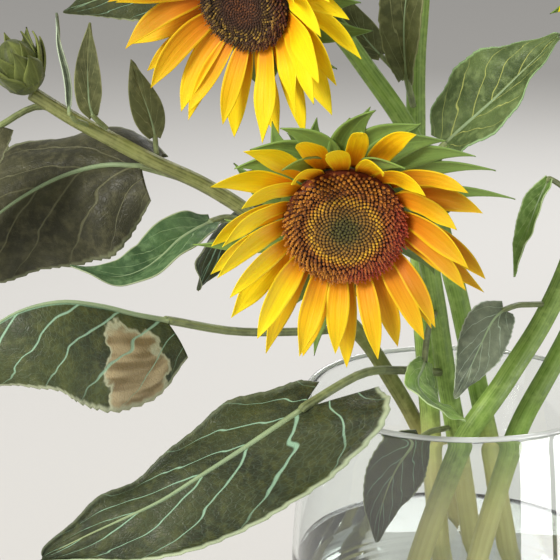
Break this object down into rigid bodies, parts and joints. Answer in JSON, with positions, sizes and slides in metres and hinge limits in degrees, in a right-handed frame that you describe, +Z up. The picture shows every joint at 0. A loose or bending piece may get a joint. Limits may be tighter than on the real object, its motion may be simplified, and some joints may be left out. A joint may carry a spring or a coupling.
{
  "type": "sunflower bouquet",
  "caption": "Cut sunflowers with nodding heads, a bud and heart-shaped leaves, standing in a clear round glass vase of water.",
  "frame": {"origin": "centre of the vase's flat foot, on the surface it stands on", "axes": "+Z up along the vase's axis, -Y towards the front, where the main head faces, +X to the viewer's right"},
  "size_m": [0.4732, 0.2911, 0.5783],
  "materials": {
    "vase": "clear blown glass, thick at the foot",
    "water": "clear water",
    "stalks": "rough, hairy, ribbed green stalk",
    "receptacles": "dull hairy green bracts",
    "discs": "packed florets, maroon and brown with golden tips",
    "rays": "soft satin yellow petals, orange at the root",
    "leaves": "dull dark green leaf with pale veins"
  },
  "bodies": {
    "root": {"vase": "vase", "water": "water", "stalk_front": "stalks", "stalk_upper_left": "stalks", "stalk_upper_right": "stalks", "stalk_top": "stalks", "stalk_right": "stalks", "stalk_bud": "stalks", "receptacle_front": "receptacles", "receptacle_upper_left": "receptacles", "receptacle_upper_right": "receptacles", "receptacle_top": "receptacles", "receptacle_right": "receptacles", "disc_front": "discs", "disc_upper_left": "discs", "disc_upper_right": "discs", "disc_top": "discs", "disc_right": "discs", "ray_front_01": "rays", "ray_front_02": "rays", "ray_front_03": "rays", "ray_front_04": "rays", "ray_front_05": "rays", "ray_front_06": "rays", "ray_front_07": "rays", "ray_front_08": "rays", "ray_front_09": "rays", "ray_front_10": "rays", "ray_front_11": "rays", "ray_front_12": "rays", "ray_front_13": "rays", "ray_front_14": "rays", "ray_front_15": "rays", "ray_front_16": "rays", "ray_front_17": "rays", "inner_rays_front": "rays", "rays_upper_left": "rays", "rays_upper_right": "rays", "rays_top": "rays", "rays_right": "rays", "bud": "receptacles", "leaf_left_arched": "leaves", "leaf_lower_left": "leaves", "leaf_narrow": "leaves", "leaf_left_broad": "leaves", "leaf_far_left": "leaves", "leaf_spike": "leaves", "leaf_oval": "leaves", "leaf_left_small": "leaves", "leaf_upper_right": "leaves", "leaf_upright": "leaves", "leaf_hooked": "leaves", "leaf_hanging": "leaves", "leaf_curled": "leaves", "leaf_withered": "leaves", "leaf_behind_upper_left": "leaves", "leaf_in_vase": "leaves", "leaf_back_left": "leaves", "leaf_back_right": "leaves", "leaf_right_low": "leaves"}
  },
  "joints": []
}
